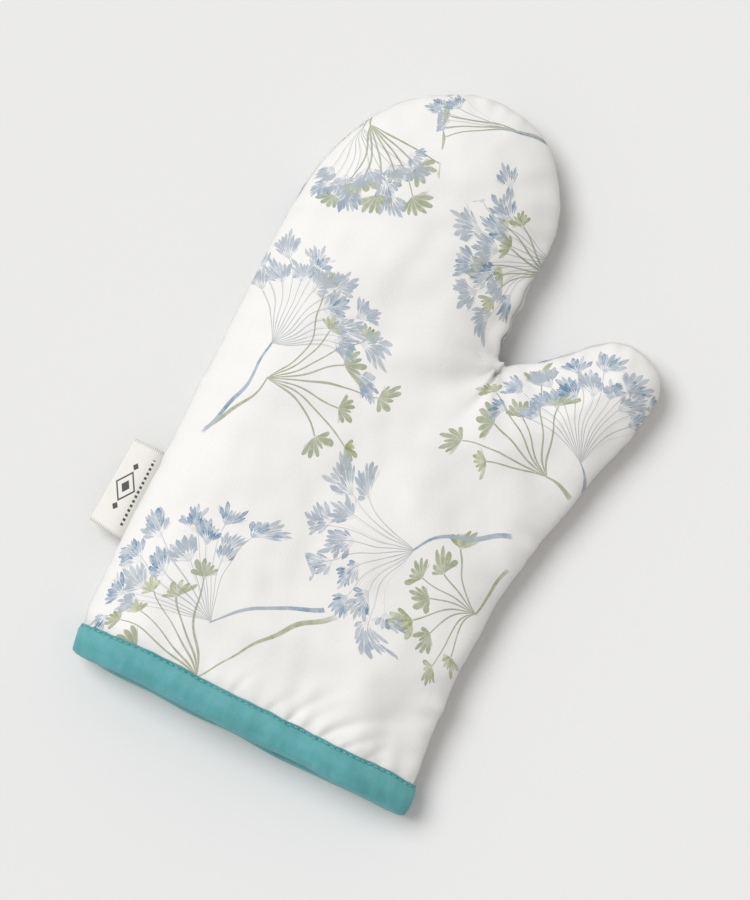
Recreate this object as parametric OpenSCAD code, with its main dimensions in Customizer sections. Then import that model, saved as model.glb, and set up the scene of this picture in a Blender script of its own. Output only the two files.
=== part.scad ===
// Padded oven mitt: two mitten-shaped walls sewn together round the edge, with a bound cuff.
// Each wall is a cotton cover, a wadding and a lining, nested one inside the other.
// The mitt folds across the knuckles and across the root of the thumb, so every layer is
// made in three lengths that meet at those two folds: hand, fingers and thumb.
// X runs across the hand, Y from the cuff to the finger tips, and Z up from the table.

/* [Outline] */
// Length from the edge of the cuff to the finger tips
mitt_length = 300; // [290:1:320]
// Width of the cuff between its two side seams
cuff_width = 164; // [160:1:170]
// Radius of the tip of the thumb
thumb_radius = 20; // [18:0.5:22]
// Radius of the notch between the fingers and the thumb
notch_radius = 4; // [3:0.5:5]

/* [Padding] */
// Height of the side seam above the table
seam_z = 12; // [11:0.5:14]
// Height of the front wall above the side seam
front_rise = 16; // [14:0.5:20]
// Thickness of the printed cotton cover
cover = 0.6; // [0.4:0.1:0.8]
// Thickness of the wadding
wadding = 6.2; // [4:0.1:6.6]
// Thickness of the cotton lining
lining = 0.5; // [0.3:0.1:0.7]

/* [Cuff] */
// Finished width of the binding on each side of the cuff
binding_width = 14; // [10:1:18]
// Thickness of the binding tape
binding = 0.7; // [0.5:0.1:0.8]
// Distance between two stitches
stitch_pitch = 3.4; // [2.8:0.1:5]

/* [Label] */
// Length of the label along the side seam
label_length = 42; // [30:1:50]
// How far the folded label stands out of the side seam
label_reach = 15; // [10:1:20]
// Distance from the edge of the cuff to the label
label_start = 53; // [30:1:70]

/* [Folds] */
// Angle that the fingers fold towards the front
finger_fold = 70; // [40:5:80]
// Angle that the thumb folds towards the front
thumb_fold = 60; // [40:5:70]

/* [Hidden] */

// Outline, seen from the front, with Y = 0 at the edge of the cuff
side_x = -cuff_width / 2 - 0.5;      // straight side, away from the thumb
tip_x = -17;                         // where the finger pocket is longest
tip_fall_left = 75;                  // height of the finger tip's curve on the straight side
tip_fall_right = 55;                 // the same on the thumb's side
pocket_x = 28.5;                     // the finger pocket's edge beside the thumb
thumb_centre = [80, 209];            // centre of the round tip of the thumb
thumb_inner_angle = 42.8;            // direction of the thumb's edge beside the fingers
thumb_outer_angle = 76;              // direction of the thumb's outer edge
waist = [75.4, 70];                  // narrowest point below the thumb
waist_flare = 0.00125;               // how the edge widens from the waist to the cuff
arc_steps = 8;                       // samples in each curve of the outline

// Heights
front_spread = 45;                   // distance from the seam at which the front wall is full height
back_spread = 20;                    // distance from the seam at which the back wall lies flat
cuff_flattening = 0.15;              // share of the front wall's height lost at the cuff
cuff_ease_length = 60;               // distance over which it is regained
cuff_lift = 1.3;                     // room under the cuff for the binding and its stitches
cuff_lift_length = 26;               // distance over which that room closes
edge_snap = 0.2;                     // nearer to the seam than this counts as on it

// Layers, as depths below the outer surface
wadding_depth = cover;
lining_depth = cover + wadding;
wall = cover + wadding + lining;

// Folds
fold_y = 204;                        // knuckle fold, just above the notch
fold_gap = 0.3;                      // half the gap between two lengths at a fold
thumb_root_y = 146;                  // where the thumb fold meets the outer edge

// Grid of each length: columns across, rows along
columns = 12;
rows_below_thumb = 8;
rows_beside_thumb = 5;
rows_at_notch = 2;
rows_fingers = 9;
rows_thumb = 8;

// Cuff
wall_start = 1;                      // the walls stop this far inside the edge of the binding
binding_clearance = 0.15;
binding_turn = 0.25;                 // rounding of the binding's folded edge
thread_radius = 0.3;
stitch_gap = 0.8;                    // between the ends of two stitches
topstitch_inset = 1.3;               // from the edge of the binding
topstitch_margin = 5;                // from the side seams
seam_inset = 2;                      // from the outline to the seam stitches
stitch_fold_gap = 1;                 // from a fold to the nearest seam stitch

// Label
ribbon = 0.35;
ribbon_gap = 0.5;                    // between the two layers of the folded label
label_clearance = 0.9;               // from the side seam to the line that the label turns about
tail_depth = 6;                      // how much of the label is caught in the seam
tail_step_in = 0.4;                  // from the side seam to the tail

origin_x = (side_x - label_reach + thumb_centre.x + thumb_radius) / 2;

// ---- Small helpers ----

function unit(v) = v / norm(v);
function along(angle) = [cos(angle), sin(angle)];
function mix(a, b, s) = a + (b - a) * s;
function clamp01(s) = max(0, min(1, s));
function smooth(s) = let (c = clamp01(s)) c * c * (3 - 2 * c);
function ease(i, n) = 0.5 - 0.5 * cos(180 * i / n);
function reverse(list) = [for (i = [len(list) - 1:-1:0]) list[i]];

// ---- Outline: every sample is [point, outward normal] ----

function line_edge(a, b, normal) = [[a, normal], [b, normal]];

// An elliptical stretch. facing is 1 where the mitt is inside the curve and -1 in a notch.
function arc_edge(centre, rx, ry, from, to, facing = 1) = [
    for (i = [0:arc_steps])
        let (a = mix(from, to, i / arc_steps))
        [centre + [rx * cos(a), ry * sin(a)], facing * unit([cos(a) / rx, sin(a) / ry])]
];

thumb_inner_normal = along(thumb_inner_angle + 90);
thumb_outer_normal = along(thumb_outer_angle - 90);
thumb_inner_end = thumb_centre + thumb_radius * thumb_inner_normal;
thumb_outer_end = thumb_centre + thumb_radius * thumb_outer_normal;

// The notch is a circle that touches the pocket's edge and the thumb's inner edge
notch_x = pocket_x + notch_radius;
notch_centre = [
    notch_x,
    thumb_inner_end.y + (notch_radius - (notch_x - thumb_inner_end.x) * thumb_inner_normal.x)
        / thumb_inner_normal.y
];
notch_low = notch_centre - [0, notch_radius];

// The outer edge is a parabola from the waist up, tangent to the thumb's straight outer edge
outer_slope = 1 / tan(thumb_outer_angle);
bend_height = 2 * (waist.x - thumb_outer_end.x - outer_slope * (waist.y - thumb_outer_end.y))
    / outer_slope;
bend_y = waist.y + bend_height;
function outer_x(y) =
    y > bend_y ? thumb_outer_end.x + outer_slope * (y - thumb_outer_end.y)
    : y > waist.y ? waist.x + outer_slope / (2 * bend_height) * pow(y - waist.y, 2)
    : waist.x + waist_flare * pow(y - waist.y, 2);
function outer_normal(y) = unit([1, -(outer_x(y + 0.5) - outer_x(y - 0.5))]);

// The thumb folds about the line from the notch to the outer edge
thumb_root = [outer_x(thumb_root_y), thumb_root_y];
thumb_line = unit(thumb_root - notch_low);
thumb_way = [-thumb_line.y, thumb_line.x];
notch_split = atan2(-thumb_way.y, -thumb_way.x) + 360;

left_edge = concat(
    line_edge([side_x, 0], [side_x, mitt_length - tip_fall_left - 1], [-1, 0]),
    arc_edge([tip_x, mitt_length - tip_fall_left], tip_x - side_x, tip_fall_left, 180, 90));
right_edge = concat(
    arc_edge([tip_x, mitt_length - tip_fall_right], pocket_x - tip_x, tip_fall_right, 90, 0),
    line_edge([pocket_x, mitt_length - tip_fall_right - 1], [pocket_x, notch_centre.y + 0.5], [1, 0]),
    arc_edge(notch_centre, notch_radius, notch_radius, 180, notch_split, -1));
inner_edge = concat(
    arc_edge(notch_centre, notch_radius, notch_radius, notch_split, 270 + thumb_inner_angle, -1),
    line_edge(
        notch_centre - notch_radius * thumb_inner_normal + along(thumb_inner_angle),
        thumb_inner_end - along(thumb_inner_angle), thumb_inner_normal),
    arc_edge(thumb_centre, thumb_radius, thumb_radius, thumb_inner_angle + 90,
        (thumb_inner_angle + thumb_outer_angle) / 2));
outer_edge = concat(
    arc_edge(thumb_centre, thumb_radius, thumb_radius,
        (thumb_inner_angle + thumb_outer_angle) / 2, thumb_outer_angle - 90),
    [for (y = [ceil(thumb_outer_end.y) - 8:-14:1]) [[outer_x(y), y], outer_normal(y)]],
    [[[outer_x(0), 0], outer_normal(0)]]);
outline = [for (edge = [left_edge, right_edge, inner_edge, outer_edge]) each [for (e = edge) e[0]]];

// ---- Paths: an edge sunk inwards, cut at a fold and divided into steps ----

function sunk(edge, depth) = [for (e = edge) e[0] - depth * e[1]];
function beyond_fold(path) = [for (p = path) p.y - fold_y];
function beyond_root(path) = [for (p = path) (p - notch_low) * thumb_way];
function beyond_cuff(path) = [for (p = path) p.y - wall_start];
function beyond_binding(path) = [for (p = path) p.y - binding_width];

// The stretch of a path where the distances d are at least gap on that side of a fold
function keep(path, d, way, gap = fold_gap) = [
    for (i = [0:len(path) - 1]) each concat(
        way * d[i] >= gap ? [path[i]] : [],
        i < len(path) - 1 && (way * d[i] - gap) * (way * d[i + 1] - gap) < 0
            ? [mix(path[i], path[i + 1], (way * gap - d[i]) / (d[i + 1] - d[i]))] : [])
];
function run(path, i = 0, sum = 0) =
    i >= len(path) - 1 ? [sum]
    : concat([sum], run(path, i + 1, sum + norm(path[i + 1] - path[i])));
function at_length(path, lengths, s) =
    let (i = max([for (k = [0:len(path) - 2]) lengths[k] <= s ? k : 0]),
         step = max(1e-9, lengths[i + 1] - lengths[i]))
    mix(path[i], path[i + 1], clamp01((s - lengths[i]) / step));
function divide(path, shares) =
    let (lengths = run(path)) [for (s = shares) at_length(path, lengths, s * lengths[len(path) - 1])];
function even(n) = [for (i = [0:n]) i / n];
function eased(n) = [for (i = [0:n]) ease(i, n)];
function slowing(n) = [for (i = [0:n]) sin(90 * i / n)];
function straight(a, b, shares) = [for (s = shares) mix(a, b, s)];

// ---- Height of a wall above the outline ----

function segment_distance(p, a, b) =
    let (ab = b - a, s = clamp01((p - a) * ab / max(1e-9, ab * ab))) norm(p - a - s * ab);
function seam_distance(p) =
    min([for (i = [0:len(outline) - 2]) segment_distance(p, outline[i], outline[i + 1])]);
function swell(d, spread) = d < edge_snap ? 0 : sqrt(1 - pow(1 - min(1, d / spread), 2));
function front_height(y) =
    front_rise * (1 - cuff_flattening * (1 - smooth(y / cuff_ease_length)));
function back_height(y) =
    seam_z - cuff_lift * (1 - smooth((y - binding_width) / cuff_lift_length));
function wall_z(d, y, depth, front) =
    front ? seam_z + (front_height(y) - depth) * swell(d, front_spread)
          : seam_z - (back_height(y) - depth) * swell(d, back_spread);
function raise(p, depth, front) =
    [p.x, p.y, wall_z(seam_distance(p) - depth, p.y, depth, front)];

// Draws a cut edge back so that the two lengths clear each other when the front folds
function drawn_back(path, depth, front, way, fold) =
    front ? [for (p = path) p + way * (raise(p, depth, front).z - seam_z) * tan(fold / 2)] : path;

// ---- Four-sided patches ----

function patch(bottom, top, left, right, us, vs) =
    let (m = len(us) - 1, n = len(vs) - 1)
    [for (i = [0:n]) [for (j = [0:m]) let (u = us[j], v = vs[i])
        mix(bottom[j], top[j], v) + mix(left[i], right[i], u)
        - mix(mix(bottom[0], bottom[m], u), mix(top[0], top[m], u), v)]];
function raised(grid, depth, front) = [for (row = grid) [for (p = row) raise(p, depth, front)]];

function hand_grid(depth, front) =
    let (left = keep(sunk(left_edge, depth), beyond_fold(sunk(left_edge, depth)), -1),
         outer_path = reverse(sunk(outer_edge, depth)),
         outer_low = keep(outer_path, beyond_root(outer_path), -1),
         outer = keep(outer_low, beyond_cuff(outer_low), 1, 0),
         inner_path = sunk(inner_edge, depth),
         inner = reverse(keep(inner_path, beyond_root(inner_path), -1)),
         pocket_path = sunk(right_edge, depth),
         pocket = reverse(keep(pocket_path, beyond_fold(pocket_path), -1)),
         side_start = [left[0].x, wall_start],
         root_a = outer[len(outer) - 1],
         root = drawn_back(straight(root_a, inner[0], even(rows_beside_thumb)),
             depth, front, -thumb_way, thumb_fold),
         notch = divide(concat(inner, pocket), even(rows_at_notch)),
         right = concat(divide(outer, even(rows_below_thumb)),
             [for (i = [1:rows_beside_thumb]) root[i]], [for (i = [1:rows_at_notch]) notch[i]]),
         side_end = left[len(left) - 1],
         last = right[len(right) - 1],
         vs = [for (p = right) (p.y - wall_start) / (last.y - wall_start)],
         us = eased(columns),
         bottom = straight(side_start, right[0], us),
         top = drawn_back(straight(side_end, last, us), depth, front, [0, -1], finger_fold))
    raised(patch(bottom, top, straight(side_start, side_end, vs), right, us, vs), depth, front);

function fingers_grid(depth, front) =
    let (half = arc_steps / 2,
         left_all = sunk(left_edge, depth),
         left_up = keep(left_all, beyond_fold(left_all), 1),
         corner = len(left_up) - 1 - half,
         right_all = sunk(right_edge, depth),
         right_down = keep(right_all, beyond_fold(right_all), 1),
         us = eased(columns),
         vs = slowing(rows_fingers),
         left = divide([for (i = [0:corner]) left_up[i]], vs),
         right = divide(reverse([for (i = [half:len(right_down) - 1]) right_down[i]]), vs),
         crown = concat([for (i = [corner:len(left_up) - 1]) left_up[i]],
             [for (i = [1:half]) right_down[i]]),
         bottom = drawn_back(straight(left[0], right[0], us), depth, front, [0, 1], finger_fold))
    raised(patch(bottom, divide(crown, us), left, right, us, vs), depth, front);

function thumb_grid(depth, front) =
    let (half = arc_steps / 2,
         inner_all = sunk(inner_edge, depth),
         inner_up = keep(inner_all, beyond_root(inner_all), 1),
         corner = len(inner_up) - 1 - half,
         outer_all = sunk(outer_edge, depth),
         outer_down = keep(outer_all, beyond_root(outer_all), 1),
         us = eased(columns),
         vs = slowing(rows_thumb),
         left = divide([for (i = [0:corner]) inner_up[i]], vs),
         right = divide(reverse([for (i = [half:len(outer_down) - 1]) outer_down[i]]), vs),
         crown = concat([for (i = [corner:len(inner_up) - 1]) inner_up[i]],
             [for (i = [1:half]) outer_down[i]]),
         bottom = drawn_back(straight(left[0], right[0], us), depth, front, thumb_way, thumb_fold))
    raised(patch(bottom, divide(crown, us), left, right, us, vs), depth, front);

function grid_of(zone, depth, front) =
    zone == "hand" ? hand_grid(depth, front)
    : zone == "fingers" ? fingers_grid(depth, front)
    : thumb_grid(depth, front);

// ---- Solids ----

// Two triangles over the corners a, b, c and d of a cell
function cell(a, b, c, d) = [[a, b, c], [a, c, d]];
function flipped(faces, flip) = flip ? [for (f = faces) reverse(f)] : faces;

// The closed solid between two grids with the same rows and columns
module thick_patch(outer, inner, front) {
    rows = len(outer);
    cols = len(outer[0]);
    count = rows * cols;
    // Numbers of the grid's border points, in order round it
    border = concat(
        [for (j = [0:cols - 2]) j],
        [for (i = [0:rows - 2]) i * cols + cols - 1],
        [for (j = [cols - 1:-1:1]) (rows - 1) * cols + j],
        [for (i = [rows - 1:-1:1]) i * cols]);
    skins = [for (i = [0:rows - 2], j = [0:cols - 2]) let (k = i * cols + j) each concat(
        cell(k, k + cols, k + cols + 1, k + 1),
        cell(count + k, count + k + 1, count + k + cols + 1, count + k + cols))];
    rims = [for (i = [0:len(border) - 1]) let (a = border[i], b = border[(i + 1) % len(border)])
        each cell(a, b, count + b, count + a)];
    polyhedron(
        points = [for (grid = [outer, inner], row = grid) each row],
        faces = flipped(concat(rims, skins), !front));
}

module layer(zone, front, top_depth, bottom_depth) {
    thick_patch(grid_of(zone, top_depth, front), grid_of(zone, bottom_depth, front), front);
}

module cover_layer(zone, front) {
    color("ivory") layer(zone, front, 0, wadding_depth);
}

module wadding_layer(zone, front) {
    color("whitesmoke") layer(zone, front, wadding_depth, lining_depth);
}

module lining_layer(zone, front) {
    color("linen") layer(zone, front, lining_depth, wall);
}

// A point on the cuff at a height y and a depth below the outer surface. Steps 0 to columns run
// over the front from the side seam, and the rest back over the underside.
function cuff_point(step, y, depth) =
    let (front = step <= columns,
         left = side_x + depth,
         right = outer_x(y) - depth,
         x = mix(left, right, ease(front ? step : 2 * columns - step, columns)))
    [x, y, wall_z(min(x - left, right - x), y, depth, front)];

// The tape goes up the outside, round the edge and up the inside, then back along its inner face
outside = -binding_clearance - binding;
inside = wall + binding_clearance + binding;
tape_profile = [
    [binding_width, outside], [binding_width / 2, outside], [4 * binding_turn, outside],
    [binding_turn, -binding_clearance], [0, 1], [0, wall - 1], [binding_turn, wall + binding_clearance],
    [4 * binding_turn, inside], [binding_width / 2, inside], [binding_width, inside],
    [binding_width, inside - binding], [binding_width / 2, inside - binding],
    [wall_start - 0.1, inside - binding], [wall_start - 0.1, outside + binding],
    [binding_width / 2, outside + binding], [binding_width, outside + binding]
];

module cuff_binding() {
    n = len(tape_profile);
    steps = 2 * columns;
    points = [for (k = [0:steps - 1], p = tape_profile) cuff_point(k, p[0], p[1])];
    faces = [for (k = [0:steps - 1], i = [0:n - 1])
        let (a = k * n + i, b = k * n + (i + 1) % n, c = (k + 1) % steps * n)
        each cell(a, c + i, c + (i + 1) % n, b)];
    color("mediumturquoise") polyhedron(points = points, faces = faces);
}

// One stitch: a straight length of thread from a to b
module stitch(a, b) {
    v = b - a;
    translate(a) rotate([0, acos(v.z / norm(v)), atan2(v.y, v.x)])
        cylinder(r = thread_radius, h = norm(v), $fn = 16);
}

// A row of topstitches along the edge of the binding, on the front or on the back
module topstitches(front) {
    y = binding_width - topstitch_inset;
    left = side_x + outside + topstitch_margin;
    right = outer_x(y) - outside - topstitch_margin;
    count = floor((right - left) / stitch_pitch);
    function on_tape(x) = [x, y,
        wall_z(min(x - side_x, outer_x(y) - x) - outside, y, outside, front)];
    for (i = [0:count - 1]) {
        x = left + i * stitch_pitch;
        stitch(on_tape(x), on_tape(x + stitch_pitch - stitch_gap));
    }
}

module binding_stitches() {
    color("turquoise") {
        topstitches(true);
        topstitches(false);
    }
}

// The seam that holds both walls together, as a row of stitches along a path
module seam_stitches(path) {
    lengths = run(path);
    count = floor(lengths[len(path) - 1] / stitch_pitch);
    function on_seam(s) = concat(at_length(path, lengths, s), [seam_z]);
    color("white") for (i = [0:count - 1]) {
        s = (i + 0.5) * stitch_pitch - (stitch_pitch - stitch_gap) / 2;
        stitch(on_seam(s), on_seam(s + stitch_pitch - stitch_gap));
    }
}

module seam_stitches_hand() {
    side_whole = sunk(left_edge, seam_inset);
    side = keep(side_whole, beyond_fold(side_whole), -1, stitch_fold_gap);
    outer_whole = sunk(outer_edge, seam_inset);
    outer = keep(outer_whole, beyond_root(outer_whole), -1, stitch_fold_gap);
    for (path = [side, outer])
        seam_stitches(keep(path, beyond_binding(path), 1, 0));
}

module seam_stitches_fingers() {
    path = concat(sunk(left_edge, seam_inset), sunk(right_edge, seam_inset));
    seam_stitches(keep(path, beyond_fold(path), 1, stitch_fold_gap));
}

module seam_stitches_thumb() {
    path = concat(sunk(inner_edge, seam_inset), sunk(outer_edge, seam_inset));
    seam_stitches(keep(path, beyond_root(path), 1, stitch_fold_gap));
}

// Outline of the folded ribbon in section: two layers and the round fold that joins them
module ribbon_section(length, radius) {
    translate([-length, -radius]) square([length, 2 * radius]);
    translate([-length, 0]) circle(r = radius, $fn = 32);
}

module across_seam(start, length) {
    translate([start, label_start + label_length, seam_z]) rotate([90, 0, 0])
        linear_extrude(length) children();
}

module label_flap() {
    outer_radius = ribbon + ribbon_gap / 2;
    reach = label_reach - label_clearance - outer_radius;
    color("antiquewhite") across_seam(side_x - label_clearance, label_length) difference() {
        union() {
            ribbon_section(reach, outer_radius);
            circle(r = outer_radius, $fn = 32);
        }
        translate([-outer_radius, 0]) ribbon_section(reach - outer_radius, ribbon_gap / 2);
    }
}

// The ends of the label, pressed together inside the seam
module label_tail() {
    color("antiquewhite") across_seam(side_x + tail_step_in, label_length)
        translate([0, -ribbon]) square([tail_depth, 2 * ribbon]);
}

module placed() {
    translate([-origin_x, -mitt_length / 2, 0]) children();
}

placed() cover_layer("hand", true);  // front_cover_hand
placed() wadding_layer("hand", true);  // front_wadding_hand
placed() lining_layer("hand", true);  // front_lining_hand
placed() cover_layer("hand", false);  // back_cover_hand
placed() wadding_layer("hand", false);  // back_wadding_hand
placed() lining_layer("hand", false);  // back_lining_hand
placed() cover_layer("fingers", true);  // front_cover_fingers
placed() wadding_layer("fingers", true);  // front_wadding_fingers
placed() lining_layer("fingers", true);  // front_lining_fingers
placed() cover_layer("fingers", false);  // back_cover_fingers
placed() wadding_layer("fingers", false);  // back_wadding_fingers
placed() lining_layer("fingers", false);  // back_lining_fingers
placed() cover_layer("thumb", true);  // front_cover_thumb
placed() wadding_layer("thumb", true);  // front_wadding_thumb
placed() lining_layer("thumb", true);  // front_lining_thumb
placed() cover_layer("thumb", false);  // back_cover_thumb
placed() wadding_layer("thumb", false);  // back_wadding_thumb
placed() lining_layer("thumb", false);  // back_lining_thumb
placed() cuff_binding();
placed() binding_stitches();
placed() seam_stitches_hand();
placed() seam_stitches_fingers();
placed() seam_stitches_thumb();
placed() label_tail();
placed() label_flap();
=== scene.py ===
"""Looks of the padded oven mitt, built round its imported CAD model.

Lengths in the mitt's own pattern are in millimetres: x across the hand, y up from the edge of the cuff, and z up
from the table. Meshes are in metres, in the frame of the CAD model.
"""

import math
from collections import namedtuple
from functools import partialmethod

import bpy
import numpy as np
from mathutils import Matrix, Vector, geometry, kdtree

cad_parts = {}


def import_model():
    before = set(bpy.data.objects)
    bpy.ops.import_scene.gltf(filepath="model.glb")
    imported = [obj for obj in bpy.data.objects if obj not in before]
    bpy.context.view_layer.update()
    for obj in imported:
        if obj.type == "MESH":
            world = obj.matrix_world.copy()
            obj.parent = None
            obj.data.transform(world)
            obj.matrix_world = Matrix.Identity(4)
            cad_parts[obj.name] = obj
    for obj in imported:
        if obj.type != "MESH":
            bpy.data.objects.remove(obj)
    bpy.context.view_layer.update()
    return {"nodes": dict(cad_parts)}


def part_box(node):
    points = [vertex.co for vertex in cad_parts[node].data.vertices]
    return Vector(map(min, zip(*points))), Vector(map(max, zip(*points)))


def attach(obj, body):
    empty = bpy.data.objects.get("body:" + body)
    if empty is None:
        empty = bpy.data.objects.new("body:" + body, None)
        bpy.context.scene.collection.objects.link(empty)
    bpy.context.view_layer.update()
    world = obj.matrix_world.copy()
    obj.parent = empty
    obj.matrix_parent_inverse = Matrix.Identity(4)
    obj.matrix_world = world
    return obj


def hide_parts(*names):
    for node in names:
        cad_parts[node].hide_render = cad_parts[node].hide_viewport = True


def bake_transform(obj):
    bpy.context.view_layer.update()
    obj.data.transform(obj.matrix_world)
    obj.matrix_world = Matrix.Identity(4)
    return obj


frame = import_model()

MM = 0.001
SPACING = 1.35         # between the points of the covers
COARSE = 3.6                             # between the points of the hidden layers and of the cloth simulation

# ---- The pattern's outline ----

SIDE_X = -82.5
TIP_X, TIP_FALL_LEFT, TIP_FALL_RIGHT = -18.5, 80.0, 54.0
POCKET_X = 28.0
LENGTH = 299.4
THUMB, THUMB_RADIUS = np.array([80.5, 209.5]), 19.4
INNER_ANGLE, OUTER_ANGLE = math.radians(42.8), math.radians(76.0)
NOTCH_RADIUS = 4.5
WAIST = np.array([75.2, 72.0])
CUFF_FLARE = 0.00125
WALL_START = 1.0
ROOT_Y = 146.0
SEAM_Z = 12.0
FRONT_RISE, FRONT_SPREAD = 16.0, 45.0
BACK_SPREAD = 20.0
LEVEL_AT = 20.0                          # distance from the seam where the layers lie above each other
EDGE_REACH = 9.0                         # of what is moved along with the seam
DOME, DOME_REACH, DOME_SKEW = 5.0, 30.0, 0.66
BINDING = 14.0
STITCH_Y = BINDING - 1.3                  # where the binding's topstitches run

# From the pattern to the CAD model's frame
low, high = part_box("back_cover_hand")
ORIGIN = np.array([low.x / MM - SIDE_X, low.y / MM - WALL_START, 0.0])


def smooth(t):
    t = np.clip(t, 0.0, 1.0)
    return t * t * (3 - 2 * t)


def bell(t):
    return np.exp(-t ** 2)


def norms(v):
    return np.linalg.norm(v, axis=1)


def columns(*values):
    """The values, some of which may be single numbers, as the columns of a table."""
    return np.stack(np.broadcast_arrays(*values), 1)


def unit(a):
    return np.array([math.cos(a), math.sin(a)])


def arc(centre, rx, ry, start, end, n=40):
    a = np.radians(np.linspace(start, end, n))
    return columns(centre[0] + rx * np.cos(a), centre[1] + ry * np.sin(a))


inner_normal, outer_normal = unit(INNER_ANGLE + math.pi / 2), unit(OUTER_ANGLE - math.pi / 2)
inner_end, outer_end = THUMB + THUMB_RADIUS * inner_normal, THUMB + THUMB_RADIUS * outer_normal
notch_x = POCKET_X + NOTCH_RADIUS
NOTCH = np.array([
    notch_x,
    inner_end[1] + (NOTCH_RADIUS - (notch_x - inner_end[0]) * inner_normal[0]) / inner_normal[1],
])
slope = 1 / math.tan(OUTER_ANGLE)
bend_height = 2 * (WAIST[0] - outer_end[0] - slope * (WAIST[1] - outer_end[1])) / slope


def outer_x(y):
    y = np.asarray(y, float)
    above = WAIST[0] + slope / (2 * bend_height) * (y - WAIST[1]) ** 2
    below = WAIST[0] + CUFF_FLARE * (y - WAIST[1]) ** 2
    line = outer_end[0] + slope * (y - outer_end[1])
    return np.where(y > WAIST[1] + bend_height, line, np.where(y > WAIST[1], above, below))


def far_along(path):
    """How far each point of a path is from its start."""
    return np.concatenate([[0], np.cumsum(norms(np.diff(path, axis=0)))])


def along_path(at, far, values):
    """The rows of values that belong at the distances at along a path, whose points are at far."""
    return columns(*(np.interp(at, far, column) for column in values.T))


def even_steps(path, step):
    """The path again, with points about step apart."""
    far = far_along(path)
    at = np.linspace(0, far[-1], max(2, int(round(far[-1] / step)) + 1))
    return along_path(at, far, path)


thumb_y = np.linspace(outer_end[1], 0, 200)
SEAM = even_steps(np.concatenate([
    [[SIDE_X, 0.0]],
    arc((TIP_X, LENGTH - TIP_FALL_LEFT), TIP_X - SIDE_X, TIP_FALL_LEFT, 180, 90),
    arc((TIP_X, LENGTH - TIP_FALL_RIGHT), POCKET_X - TIP_X, TIP_FALL_RIGHT, 90, 0)[1:],
    arc(NOTCH, NOTCH_RADIUS, NOTCH_RADIUS, 180, 270 + math.degrees(INNER_ANGLE)),
    arc(THUMB, THUMB_RADIUS, THUMB_RADIUS, 90 + math.degrees(INNER_ANGLE), math.degrees(OUTER_ANGLE) - 90),
    columns(outer_x(thumb_y), thumb_y)[1:],
]), 0.9)
SEAM_AT = far_along(SEAM)
step_way = np.gradient(SEAM, axis=0)
SEAM_OUT = columns(-step_way[:, 1], step_way[:, 0])
SEAM_OUT /= norms(SEAM_OUT)[:, None]

notch_low = NOTCH - [0, NOTCH_RADIUS]
NOTCH_AT = SEAM_AT[int(norms(SEAM - notch_low).argmin())]
thumb_root = np.array([float(outer_x(ROOT_Y)), ROOT_Y])
root_line = (thumb_root - notch_low) / np.linalg.norm(thumb_root - notch_low)
ROOT_WAY = np.array([-root_line[1], root_line[0]])
known_seams = {}


def nearest_seam(points):
    """For each point of the pattern: how far the seam is, how far along it, and which way is out."""
    key = points.tobytes()
    if key not in known_seams:
        known_seams[key] = find_seam(points)
    return known_seams[key]


def find_seam(points):
    a, ab = SEAM[:-1], np.diff(SEAM, axis=0)
    best = np.full(len(points), 1e9)
    at, out = np.zeros(len(points)), np.zeros((len(points), 2))
    lengths = (ab ** 2).sum(1)
    for lo in range(0, len(points), 4000):
        p = points[lo:lo + 4000]
        t = np.clip(((p[:, None] - a) * ab).sum(2) / lengths, 0, 1)
        d = np.linalg.norm(p[:, None] - a - t[..., None] * ab, axis=2)
        i = d.argmin(1)
        k = np.arange(len(p))
        best[lo:lo + 4000] = d[k, i]
        s = t[k, i]
        at[lo:lo + 4000] = SEAM_AT[i] + s * np.sqrt(lengths[i])
        out[lo:lo + 4000] = SEAM_OUT[i] * (1 - s)[:, None] + SEAM_OUT[i + 1] * s[:, None]
    out /= norms(out)[:, None]
    return best, at, out


# ---- Smooth random fields ----

def wave_field(points, size, seed, waves=24):
    """A smooth random field over points, near -1 to 1, whose bumps are about size wide."""
    r = np.random.default_rng(seed)
    points = np.asarray(points, float)
    if points.ndim == 1:
        points = points[:, None]
    ways = r.normal(size=(waves, points.shape[1]))
    ways /= norms(ways)[:, None]
    ways *= (2 * math.pi / size) * r.uniform(0.55, 1.3, (waves, 1))
    phase = r.uniform(0, 2 * math.pi, waves)
    return np.sin(points @ ways.T + phase).sum(1) * math.sqrt(2 / waves) * 0.75


# ---- The pattern as a mesh of triangles ----

FINE_REACH = 27.0                        # of the finer points round the notch


def lattice(across, up, step):
    """Points of a triangular lattice over a rectangle."""
    return np.concatenate([
        columns(np.arange(*across, step) + (i % 2) * step / 2, y)
        for i, y in enumerate(np.arange(*up, step * 0.866))
    ])


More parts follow.
